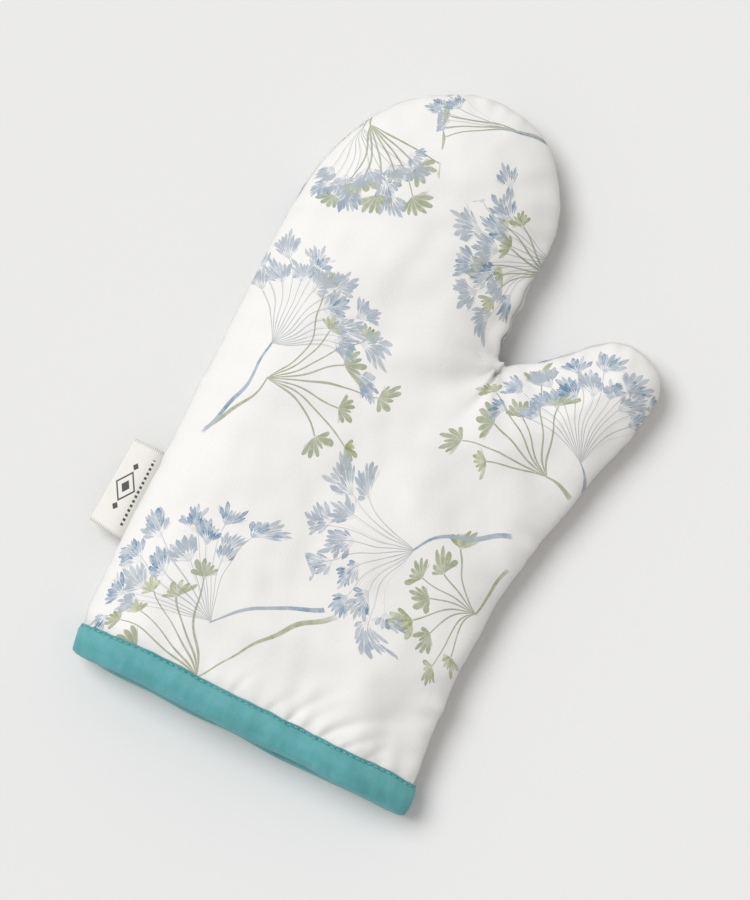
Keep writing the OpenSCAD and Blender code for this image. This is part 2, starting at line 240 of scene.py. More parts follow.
def pattern_mesh(step):
    """Points, triangles and the row of seam points of the whole pattern, cut along the thumb's root."""
    seam = even_steps(SEAM[(SEAM[:, 1] >= WALL_START)], step)
    seam[0, 1] = seam[-1, 1] = WALL_START
    root = even_steps(np.array([notch_low, thumb_root]), step)
    ends = [int(norms(seam - p).argmin()) for p in (notch_low, thumb_root)]
    root[0], root[-1] = seam[ends[0]], seam[ends[1]]
    cuff = even_steps(np.array([seam[-1], seam[0]]), step)[1:-1]
    rings = []
    for depth in (0.2, 0.5, 1.0, 1.8, 2.8):
        _, _, out = nearest_seam(seam)
        ring = seam - out * step * depth
        d, _, _ = nearest_seam(ring)
        rings.append(ring[(d > step * depth * 0.93) & (ring[:, 1] > WALL_START + 0.5 * step)])
    rings = np.concatenate(rings)
    points = lattice((SIDE_X, 101), (WALL_START + 0.8 * step, LENGTH), step)
    if step < 2:
        # closer together where the cloth gathers, round the notch
        patch = lattice((-30, 30), (-30, 30), step * 0.6) + notch_low
        points = np.concatenate([
            points[norms(points - notch_low) >= FINE_REACH],
            patch[norms(patch - notch_low) < FINE_REACH - step],
        ])
    points = points[winding(points, np.concatenate([seam, cuff]))]
    d, _, _ = nearest_seam(points)
    free = np.concatenate([rings, points[d > 3.5 * step]])
    along = np.clip((free - root[0]) @ root_line, 0, np.linalg.norm(root[-1] - root[0]))
    free = free[norms(free - root[0] - along[:, None] * root_line) > 0.6 * step]
    middle = root[1:-1]
    points = np.concatenate([seam, cuff, middle, free])
    n, m = len(seam), len(seam) + len(cuff)
    loop = [(i, (i + 1) % m) for i in range(m)]
    chain = [ends[0], *range(m, m + len(middle)), ends[1]]
    edges = loop + list(zip(chain[:-1], chain[1:]))
    made = geometry.delaunay_2d_cdt([Vector(p) for p in points], edges, [], 1, 1e-6)
    points = np.array([tuple(p) for p in made[0]])
    triangles = np.array(made[2])
    a, b, c = (points[triangles[:, k]] for k in range(3))
    area = (b - a)[:, 0] * (c - a)[:, 1] - (b - a)[:, 1] * (c - a)[:, 0]
    triangles[area < 0] = triangles[area < 0][:, ::-1]
    return points, triangles


def winding(points, loop):
    """Which points are inside a closed loop."""
    inside = np.zeros(len(points), bool)
    x, y = points[:, 0], points[:, 1]
    for (x0, y0), (x1, y1) in zip(loop, np.roll(loop, -1, axis=0)):
        if y0 != y1:
            inside ^= ((y0 > y) != (y1 > y)) & (x < (x1 - x0) * (y - y0) / (y1 - y0) + x0)
    return inside


# ---- The shape of a wall ----

def front_height(y):
    return FRONT_RISE * (0.85 + 0.15 * smooth(y / 60))


def back_height(y):
    return SEAM_Z - 1.3 * (1 - smooth((y - BINDING) / 26))


def rolled(at, y):
    """How far the seam is rolled to the front: along the finger tips and the thumb's edge beside them."""
    tips = smooth((at - 205) / 25) * (1 - smooth((at - 330) / 30))
    beside = smooth((at - NOTCH_AT + 52) / 14) * (1 - smooth((at - NOTCH_AT + 14) / 10))
    thumb = smooth((at - NOTCH_AT - 8) / 12) * (1 - smooth((at - NOTCH_AT - 66) / 16))
    return 1.9 * tips + 1.5 * beside + 1.9 * thumb


PINCH = notch_low + [-0.9, -3.9]
CREASES = (  # angle from the pinch, bend in degrees a millimetre, width, widening, length and depth
    (270, -0.5, 0.9, 0.07, 17, 2.3), (222, -0.3, 1.6, 0.17, 42, 2.0), (247, 0.2, 1.1, 0.12, 20, 0.9),
    (292, 0.4, 1.1, 0.12, 20, 1.1), (196, 0.2, 1.3, 0.15, 24, 1.2), (147, 0.8, 1.0, 0.10, 14, 1.5),
    (168, 0.4, 1.0, 0.12, 16, 1.1), (125, 0.6, 1.0, 0.12, 12, 1.1), (325, -0.6, 1.2, 0.14, 22, 1.2),
    (352, -0.6, 1.1, 0.12, 18, 0.9),
)
CUFF_CREASES = (  # where it leaves the binding, angle, length and depth
    (-38, 78, 11, 0.5), (-9, 80, 14, 0.6), (8, 70, 13, 0.5), (18, 76, 22, 0.9), (25, 70, 14, 0.5),
    (33, 62, 28, 1.0), (44, 57, 19, 0.8), (55, 66, 12, 0.5),
)


def crease_field(points):
    """Soft folds that spread from the pinched cloth between the fingers and the thumb, and from the binding."""
    v = points - PINCH
    r = norms(v)
    a = np.degrees(np.arctan2(v[:, 1], v[:, 0])) % 360
    out = np.zeros(len(points))
    for angle, bend, width, widening, reach, depth in CREASES:
        turned = (a - angle - bend * r + 180) % 360 - 180
        off = np.radians(turned) * np.maximum(r, 1.0)
        wide = width + widening * r
        fade = smooth(r / 3.5) * bell(r / reach)
        out -= depth * (bell(off / wide) - 0.55 * bell((off / wide + 2.1) / 1.4)) * fade
    for x0, angle, reach, depth in CUFF_CREASES:
        v = points - [x0, BINDING - 2.0]
        way = unit(math.radians(angle))
        along = v @ way
        off = v @ [-way[1], way[0]] + 0.012 * along ** 2
        wide = 0.9 + 0.085 * np.maximum(along, 0)
        fade = bell(np.maximum(along, 0) / reach) * smooth((along + 1.5) / 3)
        out -= depth * (bell(off / wide) - 0.5 * bell((off / wide - 2.2) / 1.5)) * fade
    return out


def pinch(points):
    """The small deep dimple beside the notch, from 0 to 1."""
    v = points - PINCH
    way = unit(math.radians(62))
    along, off = v @ way, v @ [-way[1], way[0]]
    return np.exp(-(along / 1.7) ** 2 - (off / 0.95) ** 2)


def relief(points, d, at, front):
    """How far the cloth stands out of the plain shape: seam puckers, gathers at the binding and lumps."""
    seed = 100 if front else 200
    x, y = points.T
    near_notch = bell((at - NOTCH_AT + 16) / 26)
    strength = 0.42 + 0.95 * near_notch + 0.25 * wave_field(at, 90, seed + 1)
    pucker = wave_field(columns(at, d * 0.25), 9.0, seed + 2)
    out = strength * pucker * (d / 2.6) * np.exp(1 - d / 2.6) * 0.62
    long_pucker = wave_field(columns(at, d * 0.16), 17, seed + 3)
    out += (0.26 + 0.6 * near_notch) * long_pucker * (d / 7) * np.exp(1 - d / 7)
    above = np.maximum(y - BINDING + 1.5, 0)
    right = 0.35 + 0.65 * smooth((x + 10) / 40)
    gather = wave_field(columns(x + 0.28 * (y - BINDING), y * 0.14), 10.5, seed + 4)
    out += 0.95 * right * gather * np.exp(-above / 9.0) * smooth(above / 3.0)
    long_gather = wave_field(columns(x + 0.35 * (y - BINDING), y * 0.12), 23, seed + 5)
    out += 0.75 * right * long_gather * np.exp(-above / 22.0) * smooth(above / 6.0)
    out += 0.75 * wave_field(points, 46, seed + 6) * smooth(d / 20)
    out += 0.16 * wave_field(points, 15, seed + 7) * smooth(d / 8)
    if front:
        across = (x - SIDE_X) / (outer_x(y) - SIDE_X)
        skewed = np.clip(across, 0, 1) ** DOME_SKEW
        out += DOME * (1 - (2 * skewed - 1) ** 2) * smooth(d / DOME_REACH)
        out += crease_field(points) * smooth(d / 1.6) - 2.3 * pinch(points)
        out -= 0.9 * bell((y - BINDING - 0.6) / 2.2)
    else:
        out *= smooth(1 - (d - 6) / 16)
    return out * smooth(d / 1.2)


def seam_wander(at):
    """How far the seam strays sideways, in and out of the pattern: both walls follow it."""
    gathered = bell((at - NOTCH_AT + 20) / 16)
    filled = 1.7 * bell((at - NOTCH_AT) / 12) + 1.1 * bell((at - NOTCH_AT - 32) / 20)
    stray = (0.10 + 0.30 * gathered) * wave_field(at, 11, 61) + 0.32 * wave_field(at, 38, 62)
    return stray + filled


def cuff_corners(at):
    """How far the two ends of the cuff are drawn in, so that its corners are round."""
    return 3.4 * bell(at / 17) + 1.0 * bell((SEAM_AT[-1] - at) / 5)


def extra_length(spread, rise):
    """Distance from the seam, and how much more cloth there is than the pattern between there and the top."""
    d = np.concatenate([[0], np.geomspace(0.01, spread, 400)])
    z = rise * np.sqrt(1 - (1 - d / spread) ** 2)
    more = np.hypot(np.diff(d), np.diff(z)) - np.diff(d)
    return d, np.concatenate([np.cumsum(more[::-1])[::-1], [0]])


EXTRA = {True: extra_length(FRONT_SPREAD, FRONT_RISE), False: extra_length(BACK_SPREAD, SEAM_Z)}


def wall(points, front, depth=0.0, moved=None):
    """Points of a wall's surface, depth below its outside, and where they are on the flat cloth.

    moved gives the movement found by the cloth simulation at each point of the pattern.
    """
    d, at, out = nearest_seam(points)
    near = 1 - smooth(d / LEVEL_AT)
    spread, sign = (FRONT_SPREAD, 1) if front else (BACK_SPREAD, -1)
    height = front_height(points[:, 1]) if front else back_height(points[:, 1])
    inner = np.maximum(0, d - depth * (1 - near))
    t = np.minimum(inner / spread, 1)
    profile = np.sqrt(np.maximum(0, 1 - (1 - t) ** 2))
    z = SEAM_Z + sign * (height - depth) * profile
    flat_normal = (1 - t) * (height - depth) / np.maximum(spread * profile, 1e-6)
    slope_angle = np.arctan(flat_normal)
    # the surface's own outward normal: out of the pattern near the seam, and up or down further in
    side, up = np.sin(slope_angle), np.cos(slope_angle) * sign
    rise = relief(points, d, at, front) * (1.0 if depth < 1 else 0.55)
    puff = 1.15 * (1 - np.exp(-inner / 0.6)) * np.exp(-inner / 6) * np.clip(1 - depth / 8, 0, 1)
    shift = side * (rise + puff) - depth * near
    wander = seam_wander(at) * smooth((points[:, 1] - BINDING) / 10) - cuff_corners(at)
    edge = 1 - smooth(inner / EDGE_REACH)
    shift = shift + wander * edge
    roll = rolled(at, points[:, 1]) * np.clip(1 - depth / 6, 0, 1)
    if front:
        shift = shift - roll * edge
        z = z + 1.6 * roll * edge * (1 - profile)
    else:
        away = smooth(inner / 1.3)
        shift = shift - roll * (1 - away) + 0.25 * roll * away * (1 - smooth(inner / 6))
        z = z + 1.6 * roll * (1 - away)
    z = z + up * rise
    x, y = (points + out * shift[:, None]).T
    y = np.where(points[:, 1] <= WALL_START + 0.01, np.minimum(y, points[:, 1]), y)
    xyz = columns(x, np.maximum(y, WALL_START), z)
    if moved is not None:
        xyz = xyz + moved(points, front) * smooth(d / 5)[:, None] * (1.0 if depth < 1 else 0.5)
    if not front:
        xyz[:, 2] = np.maximum(xyz[:, 2], depth + 0.06)
    table = EXTRA[front]
    flat = points + out * np.interp(d, *table)[:, None]
    return xyz, flat


# ---- Making meshes ----

def to_frame(points):
    return (points + ORIGIN) * MM


def make_mesh(name, points, faces, uv=None, material=None):
    mesh = bpy.data.meshes.new(name)
    mesh.from_pydata([tuple(p) for p in to_frame(points)], [], [tuple(int(i) for i in f) for f in faces])
    if uv is not None:
        layer = mesh.uv_layers.new(name="Pattern")
        loops = np.zeros(len(mesh.loops), np.int32)
        mesh.loops.foreach_get("vertex_index", loops)
        layer.data.foreach_set("uv", (np.asarray(uv)[loops] * MM).astype(np.float32).ravel())
    mesh.validate()
    mesh.polygons.foreach_set("use_smooth", np.ones(len(mesh.polygons), bool))
    if material:
        mesh.materials.append(material)
    piece = bpy.data.objects.new(name, mesh)
    bpy.context.scene.collection.objects.link(piece)
    return piece


def border_edges(triangles):
    """Directed edges of triangles that no neighbour shares."""
    edges = {}
    for a, b, c in triangles:
        for edge in ((a, b), (b, c), (c, a)):
            if edges.pop(edge[::-1], None) is None:
                edges[edge] = True
    return list(edges)


def vertex_normals(points, triangles):
    a, b, c = (points[triangles[:, k]] for k in range(3))
    n = np.cross(b - a, c - a)
    out = np.zeros_like(points)
    for k in range(3):
        np.add.at(out, triangles[:, k], n)
    return out / np.maximum(norms(out), 1e-12)[:, None]


def shade(points, front):
    """Painted shade, 0 to 1, in the seam's groove, the pinch, the creases and at the binding."""
    d, at, _ = nearest_seam(points)
    out = 0.50 * bell(d / 0.42) + 0.10 * np.exp(-d / 2.2)
    out += 0.16 * np.exp(-np.maximum(points[:, 1] - BINDING, 0) / 0.9)
    if front:
        out += 0.75 * pinch(points) + 0.16 * bell(norms(points - PINCH) / 5.0)
        out += 0.05 * np.clip(-crease_field(points) - 0.3, 0, 2) * smooth(d / 1.6)
    return np.clip(out, 0, 0.85)


def triangles_of(part, points, triangles):
    """The pattern's triangles on the thumb's side of its root, or all the others."""
    middles = points[triangles].mean(1)
    beyond = ((middles - notch_low) @ ROOT_WAY > 0) & (middles[:, 0] > POCKET_X)
    return triangles[beyond if part == "thumb" else ~beyond]


def layer_pieces(kind, front, mesh2d, depth_out, depth_in, material):
    """The two closed pieces of one layer, which share their edge and its normals."""
    points, triangles = mesh2d
    side = "front" if front else "back"
    outer, flat = wall(points, front, depth_out, moved)
    inner, _ = wall(points, front, depth_in, moved)
    if not front:
        triangles = triangles[:, ::-1]
    outer_normals = vertex_normals(outer, triangles)
    inner_normals = -vertex_normals(inner, triangles)
    # painted shade of the seam's groove, the pinch, the creases and the binding's edge, on the covers only
    darker = shade(points, front) if kind == "cover" else np.zeros(len(points))
    for part in PARTS:
        used, local = np.unique(triangles_of(part, points, triangles), return_inverse=True)
        local = local.reshape(-1, 3)
        n = len(used)
        faces = [tuple(t) for t in local] + [tuple(t[::-1] + n) for t in local]
        faces += [(b, a, a + n, b + n) for a, b in border_edges([tuple(t) for t in local])]
        piece = make_mesh(
            f"{kind}_of_{side}_{part}", np.concatenate([outer[used], inner[used]]), faces,
            np.tile(flat[used], (2, 1)), material)
        # the painted shade goes to the material as a mesh attribute
        painted_shade = piece.data.attributes.new("painted_shade", "FLOAT", "POINT")
        painted_shade.data.foreach_set("value", np.tile(darker[used], 2).astype(np.float32))
        normals = np.concatenate([outer_normals[used], inner_normals[used]])
        piece.data.normals_split_custom_set_from_vertices([tuple(v) for v in normals])
        pieces[side, kind, part] = piece


# ---- Cloth simulation of the covers ----

FRAMES = 22                              # steps of the simulation
FARTHEST = 2.6                           # that a point may move


def simulate(mesh2d):
    """Swells both covers as one bag, pinned at the seam and the cuff, and returns how each point moved."""
    points, triangles = mesh2d
    d, _, _ = nearest_seam(points)
    on_seam = d < 0.05
    tops, _ = wall(points, True)
    backs, _ = wall(points, False)
    backs_index = np.where(on_seam, np.arange(len(points)), len(points) + np.cumsum(~on_seam) - 1)
    verts = np.concatenate([tops, backs[~on_seam]])
    faces = [tuple(t) for t in triangles] + [tuple(backs_index[t[::-1]]) for t in triangles]
    bag = make_mesh("cloth_bag", verts, faces)
    held = bag.vertex_groups.new(name="held")
    at_cuff = smooth(1 - (points[:, 1] - BINDING) / 10)
    top_weights = np.maximum(np.where(on_seam, 1.0, 0.18), at_cuff)
    back_weights = np.maximum(0.82, at_cuff)
    for i, w in enumerate(np.concatenate([top_weights, back_weights[~on_seam]])):
        held.add([i], float(w), "REPLACE")
    cloth = bag.modifiers.new("cloth", "CLOTH")
    for name, value in {
        "quality": 8, "mass": 0.12, "tension_stiffness": 22, "compression_stiffness": 22, "shear_stiffness": 12,
        "bending_stiffness": 2.5, "tension_damping": 8, "compression_damping": 8, "shear_damping": 8,
        "air_damping": 4, "vertex_group_mass": "held", "pin_stiffness": 0.35, "shrink_min": -0.016,
        "use_pressure": True, "uniform_pressure_force": 2.2,
    }.items():
        setattr(cloth.settings, name, value)
    cloth.settings.effector_weights.gravity = 0
    cloth.collision_settings.use_collision = False
    cloth.collision_settings.use_self_collision = False
    cloth.point_cache.frame_start, cloth.point_cache.frame_end = 1, FRAMES
    scene = bpy.context.scene
    for f in range(1, FRAMES + 1):
        scene.frame_set(f)
    shown = bag.evaluated_get(bpy.context.evaluated_depsgraph_get())
    after = np.zeros(len(verts) * 3, np.float32)
    shown.data.vertices.foreach_get("co", after)
    move = after.reshape(-1, 3).astype(float) / MM - (verts + ORIGIN)
    scene.frame_set(1)
    bpy.data.objects.remove(bag)
    far = norms(move)
    move *= np.minimum(1, FARTHEST / np.maximum(far, 1e-9))[:, None]
    tree = kdtree.KDTree(len(points))
    for i, p in enumerate(points):
        tree.insert((p[0], p[1], 0), i)
    tree.balance()
    fields = {True: move[:len(points)], False: move[backs_index]}
    ends = np.concatenate([triangles[:, [0, 1]], triangles[:, [1, 2]], triangles[:, [2, 0]]])
    count = np.bincount(ends.ravel(), minlength=len(points))[:, None]
    for side in fields:
        for _ in range(5):
            total = np.zeros_like(fields[side])
            np.add.at(total, ends[:, 0], fields[side][ends[:, 1]])
            np.add.at(total, ends[:, 1], fields[side][ends[:, 0]])
            fields[side] = np.where(on_seam[:, None], fields[side], 0.4 * fields[side] + 0.6 * total / count)

    def moved(at, front):
        field, out = fields[front], np.zeros((len(at), 3))
        for k, p in enumerate(at):
            found = tree.find_n((p[0], p[1], 0), 7)
            w = np.array([1 / (f[2] ** 2 + 0.4) - 1 / (found[-1][2] ** 2 + 0.4) + 1e-6 for f in found])
            out[k] = (field[[f[1] for f in found]] * w[:, None]).sum(0) / w.sum()
        return out

    return moved


# ---- Materials: arithmetic on sockets, written as Python expressions ----

class Value:
    """A number, vector or colour that varies over a surface, as the output socket of a node."""

    def __init__(self, tree, socket):
        self.tree, self.socket = tree, socket

    def math(self, operation, *others, **settings):
        return add_node(self.tree, "Math", dict(enumerate((self, *others))), operation=operation, **settings)

    def __rsub__(self, other):
        return self * -1 + other

    def clamped(self):
        return self.math("ADD", 0.0, use_clamp=True)

    def step(self, lo, hi):
        """0 below lo, 1 above hi and smooth between. With lo above hi it falls instead."""
        return add_node(self.tree, "MapRange", {
            "Value": self, "From Min": min(lo, hi), "From Max": max(lo, hi),
            "To Min": float(lo > hi), "To Max": float(lo < hi),
        }, interpolation_type="SMOOTHSTEP")


for method, operation in (
    ("__add__", "ADD"), ("__radd__", "ADD"), ("__sub__", "SUBTRACT"), ("__mul__", "MULTIPLY"),
    ("__rmul__", "MULTIPLY"), ("__truediv__", "DIVIDE"), ("__pow__", "POWER"), ("__gt__", "GREATER_THAN"),
    ("__lt__", "LESS_THAN"), ("__abs__", "ABSOLUTE"), ("floor", "FLOOR"), ("round", "ROUND"), ("sin", "SINE"),
    ("sqrt", "SQRT"), ("least", "MINIMUM"), ("most", "MAXIMUM"), ("atan2", "ARCTAN2"),
):
    setattr(Value, method, partialmethod(Value.math, operation))


def put(tree, socket, v):
    if isinstance(v, Value):
        tree.links.new(v.socket, socket)
    else:
        socket.default_value = v


def add_node(tree, kind, inputs=None, output=0, **settings):
    """A new shader node with its inputs and settings, as the value of one of its outputs."""
    node = tree.nodes.new("ShaderNode" + kind)
    for key, setting in settings.items():
        setattr(node, key, setting)
    for key, v in (inputs or {}).items():
        put(tree, node.inputs[key], v)
    return Value(tree, node.outputs[output])


def vector(x, y):
    return add_node(x.tree, "CombineXYZ", {0: x, 1: y})


def parts(v):
    return [Value(v.tree, output) for output in add_node(v.tree, "SeparateXYZ", {0: v}).socket.node.outputs]


def measure(operation, v, other):
    """The distance or the dot product of v and a fixed vector."""
    return add_node(v.tree, "VectorMath", {0: v, 1: other}, "Value", operation=operation)


def mix(share, a, b, kind="Color"):
    """a where share is 0 and b where it is 1."""
    node = add_node(share.tree, "Mix", data_type="RGBA" if kind == "Color" else kind.upper()).socket.node
    sockets = {socket.identifier: socket for socket in (*node.inputs, *node.outputs)}
    for key, v in (("Factor_Float", share), (f"A_{kind}", a), (f"B_{kind}", b)):
        put(share.tree, sockets[key], v)
    return Value(share.tree, sockets[f"Result_{kind}"])


def noise(v, scale, detail=2.0, rough=0.5):
    """Noise from 0 to 1 whose lumps are about 1 / scale across."""
    inputs = {"Vector": v, "Scale": scale, "Detail": detail, "Roughness": rough}
    return add_node(v.tree, "TexNoise", inputs, "Fac")


def dice(x, y):
    """A random number from 0 to 1 that is the same wherever x and y are the same."""
    return add_node(x.tree, "TexWhiteNoise", {"Vector": vector(x, y)}, "Value", noise_dimensions="2D")


def rgb(r, g, b):
    """An sRGB colour from 0 to 255, as linear RGBA."""
    def linear(c):
        c /= 255
        return c / 12.92 if c <= 0.04045 else ((c + 0.055) / 1.055) ** 2.4
    return (linear(r), linear(g), linear(b), 1.0)


def waves(v, length):
    """Waves of this length along v, from -1 to 1."""
    return (v * (2 * math.pi / length)).sin()


def new_material(name):
    material = bpy.data.materials.new(name)
    material.use_nodes = True
    return material, material.node_tree.nodes["Principled BSDF"]


def new_cloth(name):
    """A material, and where its surface is on the flat cloth, in millimetres."""
    material, _ = new_material(name)
    tree = material.node_tree
    metres = add_node(tree, "UVMap", uv_map="Pattern")
    return material, add_node(tree, "VectorMath", {0: metres, "Scale": 1 / MM}, operation="SCALE")


def finish_cloth(material, colour, height, depth, finish, strength=0.8):
    """Gives a material its colour, its bumps of height times depth in millimetres, and its other numbers."""
    tree, inputs = material.node_tree, material.node_tree.nodes["Principled BSDF"].inputs
    put(tree, inputs["Base Color"], colour)
    raised = {"Strength": strength, "Distance": depth * MM, "Height": height}
    put(tree, inputs["Normal"], add_node(tree, "Bump", raised))
    for key, v in finish.items():
        inputs[key].default_value = v
    return material


def weave(p, warp, weft):
    """Height of a plain weave, 0 to 1, with threads warp and weft millimetres apart."""
    x, y, _ = parts(p)
    drift = noise(p, 0.16)
    a, b = waves(x + drift * 1.2, warp), waves(y + drift * 0.9, weft)
    return (a * b) * 0.25 + (a + b) * 0.12 + 0.5


# ---- The print: umbrella-shaped seed heads, drawn by the shader ----
# hub x and y, direction of the fan in degrees, length and half spread of its rays, stem x and y from the hub,
# number of rays, and the size of a head

BLUE_SPRAYS = (
    (-70, 264, -64, 38, 54, -2, 22, 9, 12.0),
    (-14, 287, 192, 33, 34, 28, 8, 5, 11.5),
    (35, 246, 206, 45, 56, 20, 18, 12, 13.0),
    (-60, 158, 72, 42, 70, -13, -50, 13, 13.0),
    (33, 105, 210, 43, 76, 36, 22, 11, 13.0),
    (80, 173, 108, 42, 74, 12, -14, 14, 13.0),
    (-30, 36, 145, 48, 60, 44, 29, 12, 13.5),
)
GREEN_SPRAYS = (
    (-66, 266, -42, 38, 46, -8, 18, 7, 10.5),
    (-10, 290, 206, 38, 26, 18, 5, 4, 11.5),
    (36, 240, 188, 32, 56, 12, 12, 7, 9.5),
    (-54, 144, 18, 45, 70, -19, -34, 8, 11.5),
    (73, 158, 146, 42, 54, 14, -4, 7, 11.5),
    (72, 92, 210, 32, 84, 4, 24, 8, 11.0),
    (-24, 15, 158, 44, 44, 42, 48, 6, 10.5),
)
Head = namedtuple("Head", "petal_angle half_fan stalk_share fill ray_width ray_ink")
# A layer of paint: what sets off its random numbers, its heads, and its pale, deep, other and ray paints
GREEN = (
    5.3, Head(0.40, 1.2, 0.0, 0.92, 0.36, 0.9),
    ((197, 202, 165), (140, 149, 95), (162, 171, 140), (152, 158, 122)))
GREY = (
    9.4, Head(0.27, 0.95, 0.32, 0.97, 0.10, 0.34),
    ((205, 210, 215), (126, 150, 174), (190, 197, 203), (158, 164, 164)))
BLUE = (
    1.7, Head(0.24, 0.86, 0.34, 1.0, 0.17, 0.62),
    ((196, 204, 211), (76, 128, 164), (182, 190, 198), (142, 151, 154)))


def pick_spray(p, sprays):
    """The numbers of the spray whose fan or stem is nearest to each point, as sockets constant over its room."""
    nearest = 1.0
    picked = [(0.0, 0.0, 1.0), (1.0, 0.0, 1.0), (1.0, 0.0, 0.0), (1.0, 1.0, 0.0)]
    for i, (hx, hy, way, length, spread, sx, sy, rays, head) in enumerate(sprays):
        c, s = unit(math.radians(way)).tolist()
        spread = math.radians(spread)
        behind = min(-2.0, length * math.cos(1.12 * spread) - 0.8 * head)
        along = measure("DOT_PRODUCT", p, (c, s, 0.0)) - (hx * c + hy * s)
        to_fan = measure("DISTANCE", p, (hx, hy, 0.0)) / (length + 0.9 * head + 2.0) + (along < behind)
        to_stem = measure("DISTANCE", p, (hx + sx / 2, hy + sy / 2, 0.0)) / (math.hypot(sx, sy) / 2 + 2.0)
        near = to_fan.least(to_stem)
        inside = near < nearest
        nearest = near.least(nearest)
        numbers = (hx, hy, length), (c, s, spread), (sx, sy, i + 1.0), (rays, head, 1.0)
        picked = [mix(inside, before, now, "Vector") for before, now in zip(picked, numbers)]
    return [parts(three) for three in picked]


def sprays_mask(p, picked, salt, head_style):
    """How much pigment there is, its tone from 0 to 1, a random number for each head, and whether it is a ray.

    head_style is the angle between petals, half the fan of a head, the share of a head that is stalks, how much
    of its room a petal fills, and the width and the strength of the rays.
    """
    spacing, fan, bare, fill, ray_width, ray_ink = head_style
    (hx, hy, length), (c, s, spread), (sx, sy, seed), (rays, head, there) = picked
    x, y, _ = parts(p)
    swirl_x, swirl_y = noise(p, 0.05, 0.0) - 0.5, noise(p, 0.043, 0.0) - 0.5
    wobble = noise(p, 0.5, 3.0, 0.6) - 0.5
    dx, dy = x - hx + swirl_x * 9, y - hy + swirl_y * 9
    u, v = dx * c + dy * s, dy * c - dx * s
    r = (u * u + v * v).sqrt()
    bow = (r / length * 0.42 + 0.58).least(1.15)
    turned = v.atan2(u) / bow
    drawn = None
    for parity in (0, 1):
        index = ((turned / spread * 0.5 + 0.5) * rays * 0.5 + parity * 0.5).floor()
        key = index * 2 + (seed * 31.7 + salt + parity)
        r1, r2, r3 = dice(key, 1.5), dice(key, 4.5), dice(key, 8.5)
        centre = ((index * 2 + (1 - parity) + (r1 - 0.5) * 0.4) / rays - 0.5) * spread * 2
        valid = (abs(centre) < spread) * there
        across = (turned - centre) * bow * r
        reach = length * ((0.90 if parity else 0.66) + 0.16 * r2) - head * bare
        taper = 0.35 + 0.85 * (r / 9).least(1.0) - 0.4 * (r / length).least(1.0)
        line = (abs(across) - taper * ray_width).step(0.13, -0.09) * (r < reach) * ray_ink
        hu = r - reach + wobble * 0.9
        across = across - wobble * 0.9
        rho = (hu * hu + across * across).sqrt()
        lean = (r1 - 0.5) * 0.5
        psi = across.atan2(hu) + lean
        petal = (psi / spacing + r2).round()
        petal_key = key * 3.1 + petal
        p1, p2 = dice(petal_key, 2.5), dice(petal_key, 6.5)
        size = head * (0.60 + 0.40 * p1) * (0.76 + 0.24 * r3)
        q = (rho / size).least(1.0)
        start = bare * (0.9 + 0.35 * p2)
        t = ((q - start) / (1 - start)).clamped() if bare else q
        middle = (petal - r2) * spacing
        off = abs(psi - middle) * rho
        room = rho * (spacing * 0.5 * fill)
        pointed = (1 - t ** 2.6) * (t + 0.02) ** 0.5 * 1.5 if bare else (1 - t ** 4.0).sqrt()
        width = room * pointed * (0.85 + 0.3 * p2)
        in_fan = abs(middle) < fan
        shape = (off - width).step(0.12, -0.12) * (rho < size) * (q > (start if bare else 0.02)) * in_fan
        stalk = (off.step(0.30, 0.08) * (q < 0.5) * in_fan * ray_ink) if bare else shape
        edge = (width - off).step(0.55, 0.05)
        vein = off.step(0.30, 0.05) * 0.5
        heart = (abs(psi) < fan) * t.step(0.02, 0.15) * t.step(0.90, 0.62) * (0.42 if bare else 0.62)
        body = shape.most(heart) * valid
        piece_ink = body.most(line * valid).most(stalk * valid)
        piece_tone = (edge * 0.55 + vein * 0.3 + t * 0.3 + (p2 - 0.5) * 0.9 + (r3 - 0.5) * 0.7 + 0.08).clamped()
        piece_tone = shape * piece_tone + (1 - shape) * 0.35
        piece_lines = (1 - shape * valid) * (r < reach)
        if drawn:
            ink = drawn[0]
            over = (shape * valid > 0.5).most((piece_ink > ink) * (1 - (ink > 0.8)))
            luck, tone, lines = (
                mix(over, *both, "Float") for both in zip(drawn[1:], (r3, piece_tone, piece_lines)))
            ink = ink.most(piece_ink)
        else:
            drawn = piece_ink, r3, piece_tone, piece_lines
    size2 = sx * sx + sy * sy
    along = (dx * sx + dy * sy) / size2
    aside = (dx * sy - dy * sx) / size2.sqrt() + (along * (1 - along)) * size2.sqrt() * 0.26
    thick = 0.35 + 0.95 * along.clamped() + swirl_x * 0.5 + wobble * 0.12
    end = along.step(1.0, 0.965) * (0.45 + 0.55 * along.step(1.0, 0.86))
    stalk = (abs(aside) - thick).step(0.2, -0.2) * (along > -0.02) * end * there
    over = stalk > ink
    tone = mix(over, tone, 0.15 + 0.8 * noise(p, 0.12), "Float")
    return ink.most(stalk * 0.95), tone, luck, lines * (1 - over)


def watercolour(p, ground, picked, salt, head, paints):
    """Paints the sprays over ground: thin washes between pale and deep, with some heads leaning to other."""
    pale, deep, other, ray = (rgb(*paint) for paint in paints)
    ink, tone, luck, lines = sprays_mask(p, picked, salt, head)
    wash = noise(p, 0.22, 4.0, 0.65)
    grain = noise(p, 1.6, 2.0, 0.7)
    depth = (tone * 0.95 + (wash - 0.5) * 2.0 + 0.06).clamped()
    colour = mix(depth, pale, deep)
    colour = mix((luck - 0.52).step(0.0, 0.12) * 0.8, colour, other)
    colour = mix(lines * 0.85, colour, ray)
    cover = (ink * (0.92 + (wash - 0.5) * 0.9 + (grain - 0.5) * 0.4)).clamped() * 0.97
    return mix(cover, ground, colour)


